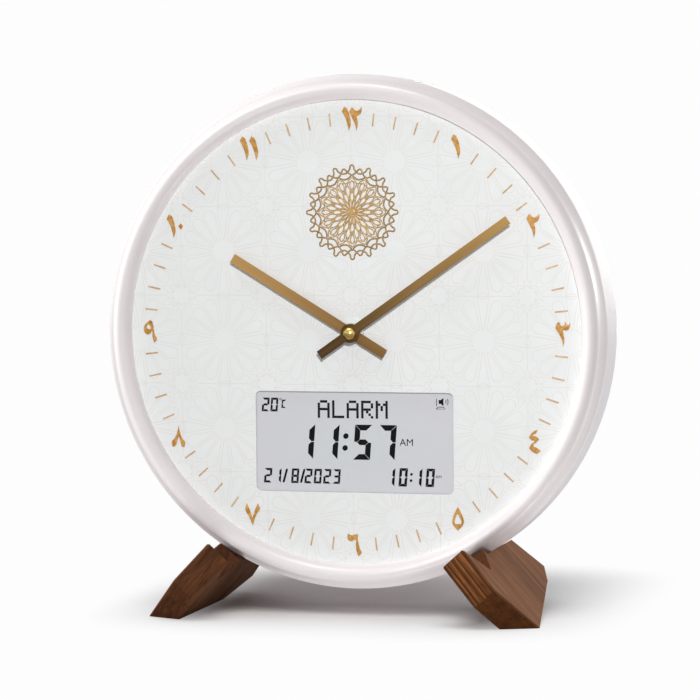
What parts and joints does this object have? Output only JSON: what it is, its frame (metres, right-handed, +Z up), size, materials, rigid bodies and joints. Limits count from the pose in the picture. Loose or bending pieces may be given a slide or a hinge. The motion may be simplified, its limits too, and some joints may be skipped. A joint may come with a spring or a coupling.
{
  "type": "azan clock",
  "caption": "Round clock with two hands, a liquid crystal display, rear buttons and a sounder, on two splayed wooden feet.",
  "frame": {"origin": "on the floor under the middle of the clock's whole box", "axes": "+Z up, the dial faces -Y, +X to the right for a reader of the dial"},
  "size_m": [0.3, 0.1283, 0.315],
  "materials": {
    "white_plastic": "smooth glossy moulded plastic, warm white",
    "case_plastic": "fine-textured moulded plastic",
    "dial_print": "matt printed dial with gold line work",
    "clear_plastic": "clear moulded window",
    "lcd_grey": "grey liquid crystal glass",
    "diffuser": "milky acrylic",
    "conductive_rubber": "striped elastomer",
    "circuit_board": "green solder resist",
    "black_plastic": "black moulded plastic",
    "button_rubber": "soft dark grey caps",
    "brass": "turned brass",
    "gold_hand": "brushed antique gold",
    "steel": "bright zinc plate",
    "cell_jacket": "plain printed cell jacket",
    "gear_plastic": "natural acetal",
    "cone_paper": "pressed paper cone",
    "magnet": "ferrite",
    "walnut": "oiled walnut with dark end grain"
  },
  "bodies": {
    "case": {"front_bezel": "white_plastic", "rear_case": "case_plastic", "bezel_screws": "steel", "dial_plate": "dial_print", "lcd_window": "clear_plastic", "lcd_panel": "lcd_grey", "backlight_panel": "diffuser", "lcd_connectors": "conductive_rubber", "lcd_holder": "black_plastic", "main_board": "circuit_board", "board_screws": "steel", "board_chips": "black_plastic", "temperature_sensor": "black_plastic", "movement_front": "black_plastic", "movement_back": "black_plastic", "stem_bush": "brass", "stem_washer": "brass", "stem_nut": "brass", "movement_cell": "cell_jacket", "movement_contacts": "steel", "battery_contacts": "steel", "battery_springs": "steel", "battery_cell_1": "cell_jacket", "battery_cell_2": "cell_jacket", "battery_cell_3": "cell_jacket", "speaker_basket": "steel", "speaker_cone": "cone_paper", "speaker_magnet": "magnet", "speaker_clamps": "steel", "speaker_screws": "steel", "button_board": "circuit_board", "button_switches": "black_plastic", "button_board_screws": "steel", "right_foot": "walnut", "left_foot": "walnut"},
    "minute_train": {"minute_arbor": "steel", "minute_hand": "gold_hand", "hand_nut": "brass"},
    "hour_train": {"hour_wheel": "gear_plastic", "hour_hand": "gold_hand"},
    "intermediate": {"intermediate_wheel": "gear_plastic"},
    "knob": {"setting_knob": "black_plastic"},
    "door": {"battery_door": "case_plastic"},
    "mode_key": {"mode_button": "button_rubber"},
    "set_key": {"set_button": "button_rubber"},
    "up_key": {"up_button": "button_rubber"},
    "down_key": {"down_button": "button_rubber"},
    "stop_key": {"stop_button": "button_rubber"}
  },
  "joints": [
    {"name": "minute_turn", "type": "hinge", "parent": "case", "child": "minute_train", "pos_m": [0, -0.0125, 0.165], "axis": [0, 1, 0], "continuous": true},
    {"name": "hour_turn", "type": "hinge", "parent": "case", "child": "hour_train", "pos_m": [0, -0.0125, 0.165], "axis": [0, 1, 0], "continuous": true},
    {"name": "intermediate_turn", "type": "hinge", "parent": "case", "child": "intermediate", "pos_m": [0, -0.0045, 0.1746], "axis": [0, 1, 0], "continuous": true},
    {"name": "knob_turn", "type": "hinge", "parent": "case", "child": "knob", "pos_m": [0.00902, 0.0055, 0.17788], "axis": [0, 1, 0], "continuous": true},
    {"name": "door_swing", "type": "hinge", "parent": "case", "child": "door", "pos_m": [0, 0.0226, 0.0635], "axis": [-1, 0, 0], "range_deg": [0, 90]},
    {"name": "mode_press", "type": "slide", "parent": "case", "child": "mode_key", "axis": [0, -1, 0], "range_m": [0, 0.001], "stiffness_N_per_m": 400, "springref_m": -0.0005},
    {"name": "set_press", "type": "slide", "parent": "case", "child": "set_key", "axis": [0, -1, 0], "range_m": [0, 0.001], "stiffness_N_per_m": 400, "springref_m": -0.0005},
    {"name": "up_press", "type": "slide", "parent": "case", "child": "up_key", "axis": [0, -1, 0], "range_m": [0, 0.001], "stiffness_N_per_m": 400, "springref_m": -0.0005},
    {"name": "down_press", "type": "slide", "parent": "case", "child": "down_key", "axis": [0, -1, 0], "range_m": [0, 0.001], "stiffness_N_per_m": 400, "springref_m": -0.0005},
    {"name": "stop_press", "type": "slide", "parent": "case", "child": "stop_key", "axis": [0, -1, 0], "range_m": [0, 0.001], "stiffness_N_per_m": 400, "springref_m": -0.0005}
  ],
  "couplings": [
    {"joint": "hour_turn", "follows": "minute_turn", "ratio": 0.083333},
    {"joint": "intermediate_turn", "follows": "minute_turn", "ratio": -0.33333},
    {"joint": "knob_turn", "follows": "minute_turn", "ratio": 1}
  ]
}
